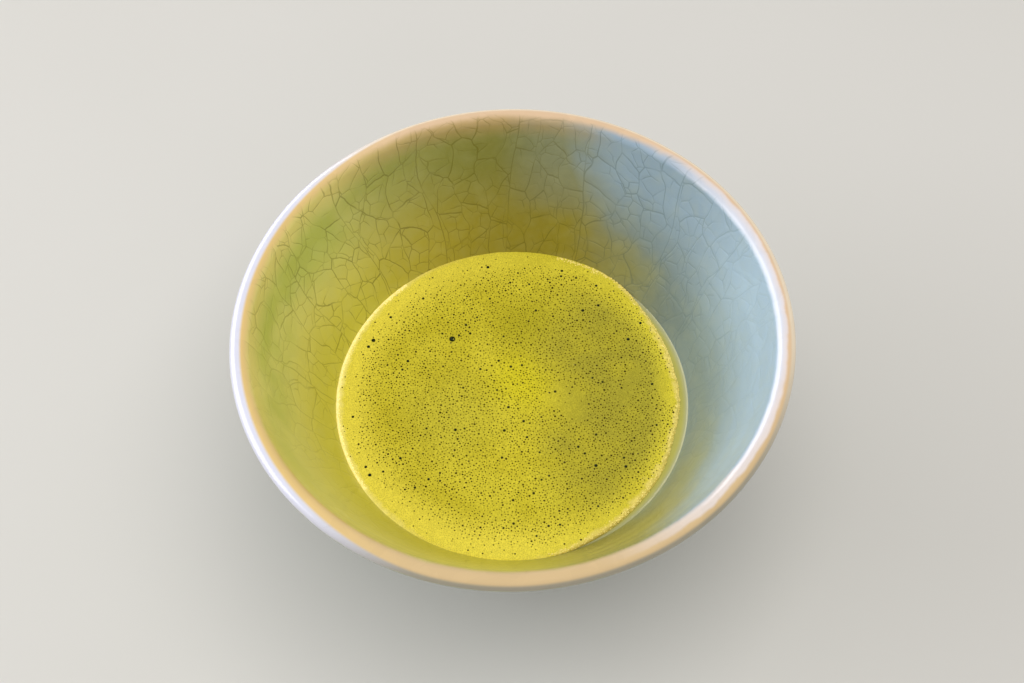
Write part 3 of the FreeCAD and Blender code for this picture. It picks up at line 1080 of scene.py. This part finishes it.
# %% Node group: foam colours, from the middle outwards
foam_colours, given, result = new_group(
    "foam_colours",
    [("Place", "NodeSocketVector", None)],
    [("Color", "NodeSocketColor"), ("Grain", "NodeSocketFloat")])
flat_place = join_xyz(foam_colours, *split_xyz(foam_colours, given["Place"])[:2])
sideways = vectors(foam_colours, "NORMALIZE", flat_place)
reach = vectors(foam_colours, "LENGTH", flat_place)
soft_cloud = cloud(foam_colours, given["Place"], 9 * MM)
base_colour = blend(foam_colours, soft_step(foam_colours, soft_cloud, 0.35, 0.65),
                    tone(203, 188, 48), tone(214, 199, 56))
GLOWS = (
    ((1.6, 4.8), 11.0, tone(214, 200, 40), 0.9),
    ((-14.0, -4.0), 17.0, tone(198, 186, 58), 0.6),
    ((3.0, 19.0), 12.0, tone(178, 166, 38), 0.8))
for centre, radius, tint, strength in GLOWS:
    from_centre = vectors(foam_colours, "LENGTH", vectors(
        foam_colours, "SUBTRACT", flat_place, (centre[0] * MM, centre[1] * MM, 0)))
    mask = soft_step(foam_colours, from_centre, radius * 0.15 * MM, radius * MM, strength, 0.0)
    base_colour = blend(foam_colours, mask, base_colour, tint)
print("foam group with", len(GLOWS), "soft patches:", len(foam_colours.nodes), "nodes")

# %% Dull side, creamy rim and grain of the foam
DULL_FOAM = tone(168, 157, 50)
CREAMY_FOAM = tone(241, 223, 78)
GRAIN_SIZE = 0.42 * MM
dull_side = soft_step(foam_colours, towards(foam_colours, sideways, 0), 0.1, 0.8)
dull_ring = both(foam_colours, soft_step(foam_colours, reach, 4 * MM, 18 * MM),
                 soft_step(foam_colours, reach, 31 * MM, 37 * MM, 1.0, 0.0))
dull_patches = soft_step(foam_colours, soft_cloud, 0.25, 0.60, 0.55, 1.0)
dull_zone = both(foam_colours, dull_ring, both(foam_colours, dull_side, dull_patches))
base_colour = blend(foam_colours, dull_zone, base_colour, DULL_FOAM)
left_side = soft_step(foam_colours, towards(foam_colours, sideways, 195), -0.6, 0.5)
rim_zone = both(foam_colours, soft_step(foam_colours, reach, 28 * MM, 38 * MM),
                maths(foam_colours, "MULTIPLY_ADD", left_side, 0.78, 0.22))
base_colour = blend(foam_colours, rim_zone, base_colour, CREAMY_FOAM)
bubble_walls = add_node(foam_colours, "ShaderNodeTexVoronoi", feature="DISTANCE_TO_EDGE")
feed(foam_colours, bubble_walls.inputs["Vector"], given["Place"])
bubble_walls.inputs["Scale"].default_value = 1 / GRAIN_SIZE
wall_mask = soft_step(foam_colours, bubble_walls.outputs["Distance"], 0.02, 0.26, 1.0, 0.0)
speckle = maths(foam_colours, "MULTIPLY_ADD", wall_mask, 0.26, 0.87)
feed(foam_colours, result["Color"], shade_by(foam_colours, base_colour, speckle))
feed(foam_colours, result["Grain"], wall_mask)
print("foam group, complete:", len(foam_colours.nodes), "nodes")

# %% [markdown]
# ## Foam material
# The rim's cream colour follows the raft's outline, so it is a number kept on every vertex, as the ruler
# of the glaze is. Froth that lies against the wall on the left is painted light: its cream is brighter
# there, and it glows a little, which lifts it out of the shade of the wall.

# %% Foam material
foam_look, tree, shader, place = new_material(
    "matcha_foam", Roughness=0.5, IOR=1.33, Specular_IOR_Level=0.06, Emission_Strength=0.14)
fields = use_group(tree, foam_colours, Place=place)
rim_attribute = add_node(tree, "ShaderNodeAttribute", attribute_name="rim_cream").outputs["Fac"]
# Painted light: against the wall on the left the rim's cream is brighter and glows a little, to lift it
# out of the wall's shade.
wall_glow_side = soft_step(tree, towards(tree, place, 178), 12 * MM, 34 * MM)
rim_tone_lit_left = blend(tree, wall_glow_side, tone(242, 220, 116), tone(255, 240, 152))
feed(tree, shader["Base Color"], blend(tree, rim_attribute, fields["Color"], rim_tone_lit_left))
feed(tree, shader["Emission Color"], blend(
    tree, both(tree, rim_attribute, wall_glow_side), tone(0, 0, 0), tone(255, 238, 150)))
foam_relief = maths(tree, "ADD", fields["Grain"], both(tree, cloud(tree, place, 0.6 * MM), 0.8))
feed(tree, shader["Normal"], add_bump(tree, foam_relief, 0.05 * MM))
print("foam material:", len(tree.nodes), "nodes")

# %% Store the cream of the rim and finish the raft
WALL_FROTH_TURN = 0.10
WAVER_GRAIN = 220
SPECK_GRAIN = 700
rim_cream = raft_section.verts.layers.float.new("rim_cream")
for vert in raft_section.verts:
    azimuth = math.atan2(vert.co.y, vert.co.x)
    from_edge = (foam_radius(azimuth) - vert.co.xy.length) / MM
    flat = Vector((vert.co.x, vert.co.y, 0))
    open_here = openness(azimuth)
    at_wall = max(0.0, -math.cos(azimuth + WALL_FROTH_TURN)) ** 1.5
    waver = 0.5 * noise.noise(flat * WAVER_GRAIN)
    width = 0.75 + 0.45 * open_here + 0.75 * at_wall + waver * (1 - 0.85 * at_wall)
    froth = max(math.sqrt(open_here), 0.9 * at_wall)
    speck = noise.noise(flat * SPECK_GRAIN) * (1 - 0.7 * at_wall)
    vert[rim_cream] = within_one((1.5 - from_edge / width + speck) * froth)
foam_raft = finish_piece(raft_section, "foam_raft", foam_look)
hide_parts("foam")

# %% [markdown]
# ## Bubbles
# A bubble in the foam is a thin clear dome over dark tea, so from above it is a dark dot. The largest
# one also gets a painted glint, a small pale dome that stands for a reflection. A dome is made with one
# operator, with few faces where it is repeated hundreds of times, and copies of its mesh are moved,
# scaled and joined into one piece per kind. Each copy is turned by an angle that follows from its place,
# so that they don't all face one way.

# %% Helper: stamp a pattern over the foam
TURN_BY_X = 7.3
TURN_BY_Y = 3.1
TURN_LIMIT = 6.28


def foam_height_at(x, y):
    azimuth = math.atan2(y, x)
    from_edge = foam_radius(azimuth) / MM - math.hypot(x, y)
    return raft_height(x, y, from_edge, openness(azimuth))


def stamp_all(name, pattern, places, material, proud, flat=0.6):
    joined = bmesh.new()
    stencil = bpy.data.meshes.new(name + "_stencil")
    pattern.to_mesh(stencil)
    pattern.free()
    for x, y, size in places:
        copy = stencil.copy()
        height = foam_height_at(x, y) + proud * size
        turn = Matrix.Rotation((x * TURN_BY_X + y * TURN_BY_Y) % TURN_LIMIT, 4, "Z")
        copy.transform(
            Matrix.Translation((x * MM, y * MM, height * MM)) @ turn
            @ Matrix.Diagonal((size * MM, size * MM, size * flat * MM, 1)))
        joined.from_mesh(copy)
        bpy.data.meshes.remove(copy)
    bpy.data.meshes.remove(stencil)
    finish_piece(joined, name, material)


print("foam's top in the middle:", round(foam_height_at(0, 0), 2), "mm")

# %% Looks of the domes
def dome_look(name, colour, roughness, shine):
    look, tree, shader, place = new_material(
        name, Roughness=roughness, IOR=1.4, Specular_IOR_Level=shine)
    darker = tuple(c * 0.7 for c in colour[:3]) + (1.0,)
    feed(tree, shader["Base Color"], blend(tree, cloud(tree, place, 6 * MM), darker, colour))
    return look


pin_look = dome_look("pin_bubble_film", tone(82, 66, 2), roughness=0.3, shine=0.08)
small_look = dome_look("small_bubble_film", tone(64, 52, 2), roughness=0.2, shine=0.10)
large_look = dome_look("large_bubble_film", tone(32, 42, 5), roughness=0.03, shine=0.3)
# Painted highlight: the glint is a pale dome that stands for the largest bubble's reflection.
glint_look = dome_look("bubble_glint", tone(168, 164, 70), roughness=0.3, shine=0.2)
print("four looks for domes and glints")

# %% Stamp the domes and the painted glint
GLINT_ABOVE = 1.2
UNIT_RADIUS = 0.5
bold_bubbles = LARGE_BUBBLES + tuple(medium_bubbles)
pin_dome = bmesh.new()
bmesh.ops.create_icosphere(pin_dome, subdivisions=1, radius=UNIT_RADIUS)
stamp_all("pin_bubbles", pin_dome, pin_bubbles, pin_look, proud=-0.05)
small_dome = bmesh.new()
bmesh.ops.create_uvsphere(small_dome, u_segments=8, v_segments=5, radius=UNIT_RADIUS)
stamp_all("small_bubbles", small_dome, small_bubbles, small_look, proud=-0.02)
large_dome = bmesh.new()
bmesh.ops.create_uvsphere(large_dome, u_segments=24, v_segments=14, radius=UNIT_RADIUS)
stamp_all("large_bubbles", large_dome, bold_bubbles, large_look, proud=-0.04, flat=0.92)
# Painted highlight: one pale dome on each of the largest bubbles.
glints = [(x + 0.20 * size, y - 0.18 * size, 0.26 * size)
          for x, y, size in LARGE_BUBBLES if size > GLINT_ABOVE]
glint = bmesh.new()
bmesh.ops.create_icosphere(glint, subdivisions=2, radius=UNIT_RADIUS)
stamp_all("bubble_glints", glint, glints, glint_look, proud=1.15)

# %% [markdown]
# ## Collars
# Foam gathers in a pale ring round each larger bubble. The ring is a small circle with five
# corners, carried round by a full spin.

# %% Stamp the collars
COLLAR_CORNERS = 5
COLLARED_ABOVE = 0.40


def collar_pattern(steps, radius, thickness):
    ring = bmesh.new()
    bmesh.ops.create_circle(
        ring, segments=COLLAR_CORNERS, radius=thickness, cap_ends=False,
        matrix=Matrix.Translation((radius, 0, 0)) @ Matrix.Rotation(math.pi / 2, 4, "X"))
    bmesh.ops.spin(ring, geom=ring.verts[:] + ring.edges[:], cent=(0, 0, 0), axis=(0, 0, 1),
                   angle=2 * math.pi, steps=steps, use_merge=True)
    bmesh.ops.recalc_face_normals(ring, faces=ring.faces)
    return ring


collar_look, tree, shader, place = new_material("collar_froth", Roughness=0.35, IOR=1.33)
fields = use_group(tree, foam_colours, Place=place)
feed(tree, shader["Base Color"], blend(tree, 0.3, fields["Color"], tone(236, 226, 120)))
collared = [b for b in small_bubbles if b[2] > COLLARED_ABOVE]
stamp_all("small_collars", collar_pattern(8, 0.56, 0.13), collared, collar_look, proud=-0.08)
stamp_all("large_collars", collar_pattern(20, 0.54, 0.10), bold_bubbles, collar_look, proud=-0.06)

# %% [markdown]
# ## Froth along the edges
# Where the raft ends, its last bubbles stand apart as pale beads: along the free edge on the right, and
# in a soft line against the wall on the left. Both lines glow a little as painted light. The line
# against the wall glows most and has a brighter tone, to lift it out of the wall's shade.

# %% Scatter the beads
BEAD_OFF_WALL = 0.12


def froth_line(draw, count, first, last, low, high, spread):
    beads = []
    for _ in range(count):
        azimuth = math.radians(draw.uniform(first, last))
        size = draw.uniform(low, high)
        edge = min(foam_radius(azimuth) / MM, WALL_AT_FOAM - BEAD_OFF_WALL)
        radius = edge - abs(draw.gauss(0, spread))
        beads.append((radius * math.cos(azimuth), radius * math.sin(azimuth), size))
    return beads


draw = random.Random(FOAM_SEED + 1)
free_edge = froth_line(draw, count=1050, first=-80, last=74, low=0.16, high=0.42, spread=0.45)
wall_edge = froth_line(draw, count=1400, first=128, last=214, low=0.16, high=0.34, spread=0.32)
print(len(free_edge), "beads on the free edge and", len(wall_edge), "against the wall")

# %% Stamp the beads
def froth_look(name, darker, lighter, painted_glow):
    look, tree, shader, place = new_material(
        name, Roughness=0.22, IOR=1.33, Emission_Strength=painted_glow)
    colour = blend(tree, cloud(tree, place, 1.0 * MM), darker, lighter)
    feed(tree, shader["Base Color"], colour)
    feed(tree, shader["Emission Color"], colour)
    return look


def round_bead():
    bead = bmesh.new()
    bmesh.ops.create_icosphere(bead, subdivisions=1, radius=UNIT_RADIUS)
    return bead


# Painted light: the beads glow, and the wall beads are also painted brighter.
free_look = froth_look("free_edge_froth", tone(232, 208, 94), tone(250, 234, 150), painted_glow=0.14)
wall_look = froth_look("wall_froth", tone(244, 228, 128), tone(255, 244, 184), painted_glow=0.32)
stamp_all("free_edge_beads", round_bead(), free_edge, free_look, proud=0.0, flat=0.8)
stamp_all("wall_edge_beads", round_bead(), wall_edge, wall_look, proud=0.12, flat=0.8)
